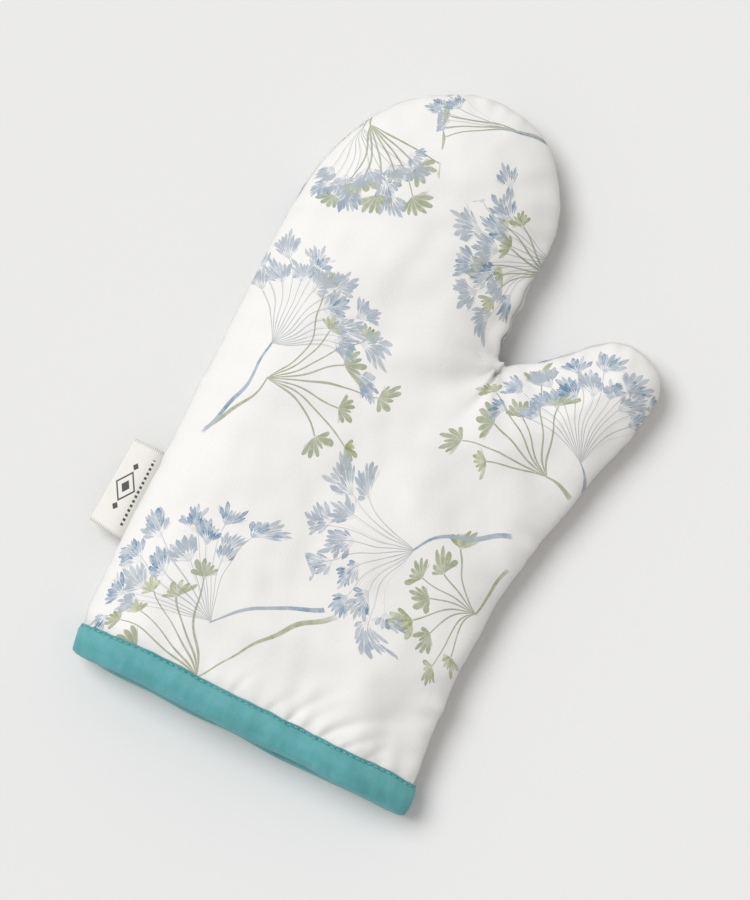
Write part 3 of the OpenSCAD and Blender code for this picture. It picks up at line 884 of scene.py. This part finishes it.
def printed_cotton(name, mirror):
    """White cotton with slubs and the print, darkened by painted shade where the mesh's attribute says so."""
    material, p = new_cloth(name)
    x, y, _ = parts(p)
    art = vector(x * -1 - 12.0, y - 9.0) if mirror else p
    slub = noise(vector(x * 0.045, y * 1.25), 1.0, 2.0, 0.6)
    streak = (slub - 0.60).step(0.0, 0.16)
    fibre = noise(p, 2.6, 3.0, 0.6)
    threads = weave(p, 0.86, 0.92)
    painted = mix(noise(p, 0.02), rgb(249, 248, 246), rgb(246, 245, 243))
    painted = mix(streak * 0.75, painted, rgb(255, 254, 252))
    painted = mix(fibre * 0.25, painted, rgb(226, 225, 223))
    greens, blues = pick_spray(art, GREEN_SPRAYS), pick_spray(art, BLUE_SPRAYS)
    for picked, layer in ((greens, GREEN), (blues, GREY), (blues, BLUE)):
        painted = watercolour(art, painted, picked, *layer)
    # painted shade: the hollows of the weave, between the threads, are darkened towards grey
    painted = mix((1 - threads) * 0.27, painted, rgb(150, 150, 148))
    # painted shade: the cloth goes towards dark brown grey in the seam's groove, the pinch, the creases and at
    # the binding
    painted_shade = add_node(p.tree, "Attribute", output="Fac", attribute_name="painted_shade")
    painted = mix(painted_shade, painted, rgb(70, 66, 60))
    return finish_cloth(
        material, painted, threads * 0.6 + streak * 0.45 + fibre * 0.3, 0.12,
        {"Roughness": 0.86, "Specular IOR Level": 0.18, "Sheen Weight": 0.22, "Sheen Roughness": 0.5}, 0.9)


def plain_cloth(name, light, dark, pitch, depth, rough, stitched_at=None):
    """Woven cloth. stitched_at is where on the pattern's y a row of stitches pulls it into a groove, darkened by
    painted shade.
    """
    material, p = new_cloth(name)
    threads = weave(p, pitch, pitch)
    fibre = noise(p, 2.2, 3.0, 0.6)
    patch = noise(p, 0.07, 3.0, 0.6)
    # the weave's hollows are darker, as painted shade; fibres and patches vary the tone at random
    share = (threads * 0.35 + fibre * 0.35 + patch * 0.5 - 0.15).clamped()
    if stitched_at:
        x, y, _ = parts(p)
        # painted shade: a crumpling noise darkens and lightens the tape as the shading of its crumples would,
        # and varies the groove
        painted_crumple_shade = noise(vector(x * 0.22, y * 0.1), 1.0, 3.0, 0.6)
        # painted shade in the groove that the stitches pull in
        groove = abs(y - stitched_at - 0.2).step(1.0, 0.1) * (0.2 + painted_crumple_shade)
        # painted shade: a darker band over the lower part of the tape
        fold = abs(y - 3.0).step(5.5, 0.6) * 0.13
        share = (share - groove * 0.6 - fold - (painted_crumple_shade - 0.5) * 0.35).clamped()
    return finish_cloth(
        material, mix(share, dark, light), threads * 0.7 + fibre * 0.5, depth,
        {"Roughness": rough, "Specular IOR Level": 0.2, "Sheen Weight": 0.15})


def fibre_wadding(name):
    material, p = new_cloth(name)
    tufts = noise(p, 0.35, 5.0, 0.75)
    fine = noise(p, 3.0, 4.0, 0.7)
    return finish_cloth(
        material, mix(tufts, rgb(228, 226, 220), rgb(249, 248, 244)), tufts * 0.7 + fine * 0.4, 0.5,
        {"Roughness": 0.95, "Sheen Weight": 0.4})


def thread_material(name, light, dark):
    """Twisted thread: the pattern's x runs along the stitch and y round it."""
    material, p = new_cloth(name)
    x, y, _ = parts(p)
    twist = waves(x * 1.6 + y * 2.2, 0.55) * 0.5 + 0.5
    share = (twist * 0.7 + noise(p, 4.0) * 0.4).clamped()
    return finish_cloth(material, mix(share, dark, light), twist, 0.05, {"Roughness": 0.55, "Sheen Weight": 0.2})


def label_satin(name):
    """Cream woven ribbon with a plain diamond motif, a row of dashes and ticked short ends.

    The pattern's x runs out from the seam and y along it, both from the label's middle.
    """
    material, p = new_cloth(name)
    x, y, _ = parts(p)
    ribs, cross = waves(y, 0.42) * 0.5 + 0.5, waves(x, 0.30) * 0.5 + 0.5
    fibre = noise(p, 2.5, 3.0)
    ground = mix((ribs * 0.5 + fibre * 0.5).clamped(), rgb(220, 218, 211), rgb(240, 239, 233))
    # painted shade: the ribbon is darker towards the seam
    ground = mix((x * -1).step(-1.0, 8.0) * 0.55, ground, rgb(198, 196, 190))
    diamond = abs(x - 1.2) + abs(y) * 0.62
    ring = abs(diamond - 4.2).step(0.50, 0.28)
    small = (diamond - 1.9).step(0.15, -0.15)
    beside = (abs(x - 1.2) + abs(abs(y) - 9.6) * 0.75 - 1.35).step(0.15, -0.15)
    dashes = abs(x + 4.6).step(0.66, 0.50) * waves(y, 2.2).step(-0.2, 0.1) * (abs(y) < 15.8)
    ink = ring.most(small).most(beside).most(dashes)
    ticks = (abs(y) - 19.2).step(0.0, 0.25) * waves(x, 0.95).step(0.1, 0.5)
    coloured = mix(ink * 0.95, ground, rgb(42, 42, 44))
    coloured = mix(ticks * 0.45, coloured, rgb(158, 150, 134))
    return finish_cloth(
        material, coloured, ribs * 0.5 + cross * 0.3 + ink * 0.5, 0.06,
        {"Roughness": 0.48, "Specular IOR Level": 0.35, "Sheen Weight": 0.25})


FRONT_PRINT = printed_cotton("printed_cotton_front", False)
BACK_PRINT = printed_cotton("printed_cotton_back", True)
WADDING = fibre_wadding("wadding")
LINING = plain_cloth("lining_cotton", rgb(240, 239, 234), rgb(218, 216, 209), 0.55, 0.1, 0.9)
# the tape's light and dark teal are its lit and its shaded tone: noise mixes them as random tone, and the groove
# and band pull towards the shaded one as painted shade
TEAL = plain_cloth(
    "binding_tape", rgb(130, 200, 204), rgb(62, 134, 138), 0.42, 0.09, 0.8, stitched_at=STITCH_Y)
TEAL_THREAD = thread_material("binding_thread", rgb(140, 214, 210), rgb(58, 142, 146))
WHITE_THREAD = thread_material("seam_thread", rgb(240, 238, 232), rgb(196, 193, 184))
SATIN = label_satin("label_satin")

# ---- Layers of the two walls ----

COVER, PADDING, INNER = 0.6, 6.2, 0.5    # thickness of cover, wadding and lining
GAP = 0.06                               # between two layers
WALL_THICK = COVER + PADDING + INNER
PARTS = "hand_fingers", "thumb"
pieces = {}

coarse_mesh = pattern_mesh(COARSE)
fine_mesh = pattern_mesh(SPACING)
moved = simulate(coarse_mesh)
for front in (True, False):
    side = "front" if front else "back"
    cover_material = FRONT_PRINT if front else BACK_PRINT
    for kind, mesh2d, top, bottom, material, slot in (
        ("cover", fine_mesh, 0.0, COVER, cover_material, "printed_cotton"),
        ("wadding", coarse_mesh, COVER + GAP + 0.25, COVER + PADDING - GAP, WADDING, "wadding"),
        ("lining", coarse_mesh, COVER + PADDING, WALL_THICK, LINING, "lining_cotton"),
    ):
        layer_pieces(kind, front, mesh2d, top, bottom, material)
        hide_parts(f"{side}_{kind}_hand", f"{side}_{kind}_fingers")
        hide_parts(f"{side}_{kind}_thumb")


# ---- The cuff: cross-sections of the walls, and the tape round them ----

def grid_faces(rows, columns, start=0, round_rows=False, round_columns=True, flip=False):
    """The quads between the points of a grid, whose last row and column may join the first."""
    faces = []
    for i in range(rows if round_rows else rows - 1):
        for k in range(columns if round_columns else columns - 1):
            a, b, j = start + i * columns, start + (i + 1) % rows * columns, (k + 1) % columns
            quad = (a + k, a + j, b + j, b + k)
            faces.append((quad[0], *quad[:0:-1]) if flip else quad)
    return faces


def cuff_ring(y, depth=0.0, steps=150):
    """The walls' surface at depth round the cuff at a height y, as a closed row of points: front, then back."""
    share = 0.5 - 0.5 * np.cos(np.linspace(0, math.pi, steps + 1))
    x = SIDE_X + (float(outer_x(y)) - SIDE_X) * share
    flat = columns(x, max(y, WALL_START))
    top, under = (wall(flat, front, depth, moved)[0] for front in (True, False))
    top[:, 1] = under[:, 1] = y
    return np.concatenate([top, under[::-1][1:-1]])


def ring_normals(ring):
    """Unit normals of a closed row of points, out of it, in the plane across the cuff."""
    along = sum(np.roll(ring, -k, axis=0) - np.roll(ring, k, axis=0) for k in (1, 2))
    n = columns(-along[:, 2], 0.0, along[:, 0])
    n /= np.maximum(norms(n), 1e-9)[:, None]
    return n


TAPE = 0.75                              # thickness of the tape
base_ring = cuff_ring(WALL_START)
ring_count = len(base_ring)
ring_far = far_along(np.concatenate([base_ring, base_ring[:1]]))
ring_at, tape_run = ring_far[:-1], float(ring_far[-1]) * MM


def tape_edge(count):
    """How far the tape's upper edge strays up or down, for each of the count points of a ring."""
    angle = 2 * math.pi * np.arange(count) / count
    girth = 54.0
    around = girth * columns(np.cos(angle), np.sin(angle))
    left_end = bell(np.minimum(angle, 2 * math.pi - angle) / 0.5)
    return 0.38 * wave_field(around, 36, 31) + 0.13 * wave_field(around, 8, 32) - 1.4 * left_end


def make_binding():
    """The tape: up the outside, round the raw edge and up the inside, as a closed solid."""
    edge_wave = tape_edge(ring_count)
    under = np.where(np.arange(ring_count) > ring_count / 2, 1.0, 0.0)
    share = np.clip((base_ring[:, 0] - base_ring[:, 0].min()) / np.ptp(base_ring[:, 0]), 0, 1)
    droop = 1.1 * under * np.sin(np.pi * share) ** 0.7 + 0.3 * wave_field(ring_at, 45, 35)
    pull = {BINDING: 0.30, BINDING - 0.5: 0.26, STITCH_Y: 0.42, BINDING - 2.2: 0.14}
    rows, flat = [], []
    for y in (*pull, 10.4, 8.6, 6.8, 5.0, 3.4, 2.2, 1.4):
        ring = cuff_ring(y)
        full = 0.75 * math.sin(math.pi * min(1, (BINDING - y) / BINDING) ** 0.8)
        away = TAPE + 0.12 + full - pull.get(y, 0.0)
        fine = 0.13 * wave_field(columns(ring_at, y * 0.5), 6.5, 33)
        fine = fine + 0.16 * wave_field(columns(ring_at, y * 0.8), 19, 34)
        row = ring + ring_normals(ring) * (away + fine)[:, None]
        row[:, 1] += edge_wave * smooth((y - 8) / 5) - droop * (1 - smooth((y - 1) / 9))
        rows.append(row)
        flat.append(y)
    out_edge = base_ring + ring_normals(base_ring) * (TAPE + 0.3)
    in_edge = cuff_ring(WALL_START, WALL_THICK) - ring_normals(base_ring) * TAPE
    middle, half = (out_edge + in_edge) / 2, (out_edge - in_edge) / 2
    for a in np.linspace(0, math.pi, 9)[1:-1]:
        row = middle + half * math.cos(a)
        row[:, 1] = WALL_START - 1.9 * math.sin(a) + 0.2 - droop
        rows.append(row)
        flat.append(-9 * a / math.pi)

    def inside(y, out):
        return cuff_ring(y, WALL_THICK) - ring_normals(cuff_ring(y)) * out

    for y in (1.4, 3.0, 5.5, 8.0, 10.5, 12.5, 13.4):
        rows.append(inside(y, TAPE))
        flat.append(-10 - y)
    # the tape's own back, against the walls
    back = [inside(y, 0.05) for y in (13.4, 8.0, 3.0)]
    for y in (2.0, 6.0, 10.0, BINDING - 0.2):
        ring = cuff_ring(y)
        back.append(ring + ring_normals(ring) * 0.10)
    back[-1][:, 1] += edge_wave
    rows += back
    flat += [-26 - i for i in range(len(back))]
    verts = np.concatenate(rows)
    verts[:, 2] = np.maximum(verts[:, 2], 0.1)
    uv = np.concatenate([columns(ring_at, f) for f in flat])
    return make_mesh("cuff_binding_tape", verts, grid_faces(len(rows), ring_count, round_rows=True), uv, TEAL)


THREAD_SIDES = 7


def stitch_tube(path, radius):
    """Rings round a short path: thread that goes down into the cloth at both ends."""
    way = np.gradient(path, axis=0)
    way /= norms(way)[:, None]
    angles = np.linspace(0, 2 * math.pi, THREAD_SIDES, endpoint=False)[:, None]
    for p, w, r in zip(path, way, radius):
        a = np.cross(w, (0.12, 0.23, 0.96))
        a /= np.linalg.norm(a)
        yield p + r * (np.cos(angles) * a + np.sin(angles) * np.cross(w, a))


def thread_row(name, stitches, radius, material):
    """One piece of thread: many stitches, each a short tube with closed ends."""
    thin = np.array([0.55, 0.95, 1.0, 1.0, 0.95, 0.55]) * radius
    verts, faces, uv = [], [], []
    for path in stitches:
        start = len(verts)
        for i, ring in enumerate(stitch_tube(path, thin)):
            verts += list(ring)
            uv += [(i * 0.5, k * 0.25) for k in range(THREAD_SIDES)]
        faces += grid_faces(len(path), THREAD_SIDES, start)
        faces.append(tuple(range(start + THREAD_SIDES - 1, start - 1, -1)))
        faces.append(tuple(range(len(verts) - THREAD_SIDES, len(verts))))
    return make_mesh(name, np.array(verts), faces, np.array(uv), material)


def make_topstitches():
    ring = cuff_ring(STITCH_Y, steps=400)
    normals = ring_normals(ring)
    surface = ring + normals * (TAPE + 0.02)
    surface[:, 1] += tape_edge(len(ring))
    far = far_along(surface)
    pitch, length, margin = 3.1, 2.3, 4.0
    stitches = []
    at = margin
    r = np.random.default_rng(5)
    while at + length < far[-1] - margin:
        along = at + np.array([0.0, 0.16, 0.38, 0.62, 0.84, 1.0]) * length
        p, n = (along_path(along, far, a) for a in (surface, normals))
        p += n * np.array([-0.30, 0.10, 0.20, 0.20, 0.10, -0.30])[:, None]
        p[:, 1] += r.normal(0, 0.10) + np.linspace(-0.5, 0.5, 6) * r.normal(0, 0.16)
        stitches.append(p)
        at += pitch + r.normal(0, 0.08)
    return thread_row("binding_topstitches", stitches, 0.27, TEAL_THREAD)


def make_label():
    """A ribbon folded in half: out from the seam along the top, round the fold, and back underneath."""
    low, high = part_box("label_flap")
    y0, y1 = low.y / MM - ORIGIN[1] + 0.2, high.y / MM - ORIGIN[1] - 0.2
    reach = SIDE_X - (low.x / MM - ORIGIN[0]) - 0.3
    radius, thick, gap, tail = 0.52, 0.30, 0.08, 4.0
    run = np.linspace(-tail, reach - radius, 22)
    line = [(-s, radius * smooth((s + 1) / 5) + gap) for s in run]
    line += [
        (-(reach - radius) - radius * math.sin(a), radius * math.cos(a) + gap * math.cos(a))
        for a in np.linspace(0, math.pi, 9)[1:-1]
    ]
    line += [(x, -z) for x, z in line[len(run) - 1::-1]]
    line = np.array(line)
    far = far_along(line) - tail
    way = np.gradient(line, axis=0)
    normal = columns(-way[:, 1], way[:, 0])
    normal /= norms(normal)[:, None]
    ys = np.linspace(y0, y1, 30)
    verts, uv = [], []
    for layer in (thick / 2, -thick / 2):
        for (x, z), (nx, nz), f in zip(line, normal, far):
            out = max(0.0, -x)
            for y in ys:
                middle = (y - y0) / (y1 - y0) - 0.5
                sag = (0.25 * math.sin(middle * 5.2 + 0.6) + 0.5 * middle) * (out / 15) - 0.010 * out ** 2
                low_end = 0.5 - middle
                slant = low_end * (2.3 * out / reach - 1.3)
                verts.append((
                    SIDE_X + x - 0.14 * low_end * out + nx * layer, y + slant, SEAM_Z + z + nz * layer + sag))
                # the pattern's zero is the middle of the ribbon's visible half
                uv.append((f - reach / 2, y - (y0 + y1) / 2))
    n, m = len(line), len(ys)
    faces = grid_faces(n, m, round_columns=False) + grid_faces(n, m, n * m, round_columns=False, flip=True)
    ring = [*range(m), *(i * m + m - 1 for i in range(1, n)), *range(n * m - 2, (n - 1) * m - 1, -1)]
    ring += [i * m for i in range(n - 2, 0, -1)]
    faces += [(b, a, a + n * m, b + n * m) for a, b in zip(ring, ring[1:] + ring[:1])]
    return make_mesh("side_label", np.array(verts), faces, np.array(uv), SATIN)


binding = make_binding()
topstitches = make_topstitches()
label = make_label()
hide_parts("cuff_binding")
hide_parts("binding_stitches")
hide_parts("label_tail", "label_flap")
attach(binding, "hand")
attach(topstitches, "hand")

for name in ("seam_stitches_hand", "seam_stitches_fingers", "seam_stitches_thumb"):
    mesh = frame["nodes"][name].data
    mesh.materials.clear()
    mesh.materials.append(WHITE_THREAD)

# ---- The pieces' transforms, baked into their meshes ----

def in_frame(x, y, z=SEAM_Z):
    return tuple(to_frame(np.array([x, y, z])))


for (side, kind, part), piece in pieces.items():
    if part == "thumb":
        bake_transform(piece)
    else:
        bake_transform(piece)
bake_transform(label)

# ---- What each sheet was cut to ----

def sheet_size(part, front, depth):
    """Width, length and area of the flat cloth of the layer at depth, in metres, without its seam allowance."""
    points, _ = coarse_mesh
    chosen = triangles_of(part, *coarse_mesh)
    d, _, out = nearest_seam(points)
    flat = points + out * (np.interp(d, *EXTRA[front]) - depth * (1 - smooth(d / LEVEL_AT)))[:, None]
    a, b, c = (flat[chosen[:, k]] for k in range(3))
    area = abs((b - a)[:, 0] * (c - a)[:, 1] - (b - a)[:, 1] * (c - a)[:, 0]).sum() / 2
    used = flat[np.unique(chosen)]
    size = used.max(0) - used.min(0)
    return (float(size[0]) * MM, float(size[1]) * MM), float(area) * MM * MM


for (side, kind, part), piece in pieces.items():
    if kind == "wadding":
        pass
    else:
        flat, area = sheet_size(part, side == "front", COVER / 2 if kind == "cover" else WALL_THICK - INNER / 2)

# ---- Floor, light and camera ----

def stage():
    bpy.ops.mesh.primitive_plane_add(size=8, location=(0, 0, 0))
    floor = bpy.context.object
    floor.name = "floor"
    material, shader = new_material("floor")
    shader.inputs["Base Color"].default_value = rgb(231, 231, 231)
    shader.inputs["Roughness"].default_value = 0.9
    shader.inputs["Specular IOR Level"].default_value = 0.1
    floor.data.materials.append(material)


TURN = math.radians(26.6)                # how far the mitt is turned in the picture
CAMERA_RIGHT = Vector((math.cos(TURN), math.sin(TURN), 0))
CAMERA_UP = Vector((-math.sin(TURN), math.cos(TURN), 0))


def add_sun(name, where, softness, strength, colour):
    """A lamp so far away that its light is even. where is right, up and above, as the camera sees it."""
    right, up, above = where
    data = bpy.data.lights.new(name, "SUN")
    data.angle, data.energy, data.color = softness, strength, colour
    lamp = bpy.data.objects.new(name, data)
    way = CAMERA_RIGHT * right + CAMERA_UP * up + Vector((0, 0, above))
    lamp.location = way
    lamp.rotation_euler = way.to_track_quat("Z", "Y").to_euler()
    bpy.context.scene.collection.objects.link(lamp)


def camera():
    data = bpy.data.cameras.new("camera")
    data.sensor_width = 36
    distance_m, picture_height = 2.0, 0.394
    data.lens = 36 * distance_m / picture_height
    data.clip_start, data.clip_end = 0.05, 20
    cam = bpy.data.objects.new("camera", data)
    middle = Vector(in_frame(-1.3, 137.2, 10))
    lean = math.radians(85)
    back = -CAMERA_UP * math.cos(lean) + Vector((0, 0, 1)) * math.sin(lean)
    cam.location = middle + back * distance_m
    up = CAMERA_UP * math.sin(lean) + Vector((0, 0, 1)) * math.cos(lean)
    cam.rotation_euler = Matrix((CAMERA_RIGHT, up, back)).transposed().to_euler()
    bpy.context.scene.collection.objects.link(cam)
    bpy.context.scene.camera = cam


def world():
    scene = bpy.context.scene
    scene.world = bpy.data.worlds.new("studio")
    scene.world.use_nodes = True
    sky = scene.world.node_tree.nodes["Background"]
    sky.inputs["Color"].default_value = (1.0, 0.965, 0.935, 1)
    sky.inputs["Strength"].default_value = 0.515
    scene.view_settings.view_transform = "Standard"


stage()
camera()
world()
add_sun("key", (-0.44, 0.33, 0.86), 0.62, 2.01, (0.98, 1.0, 1.015))
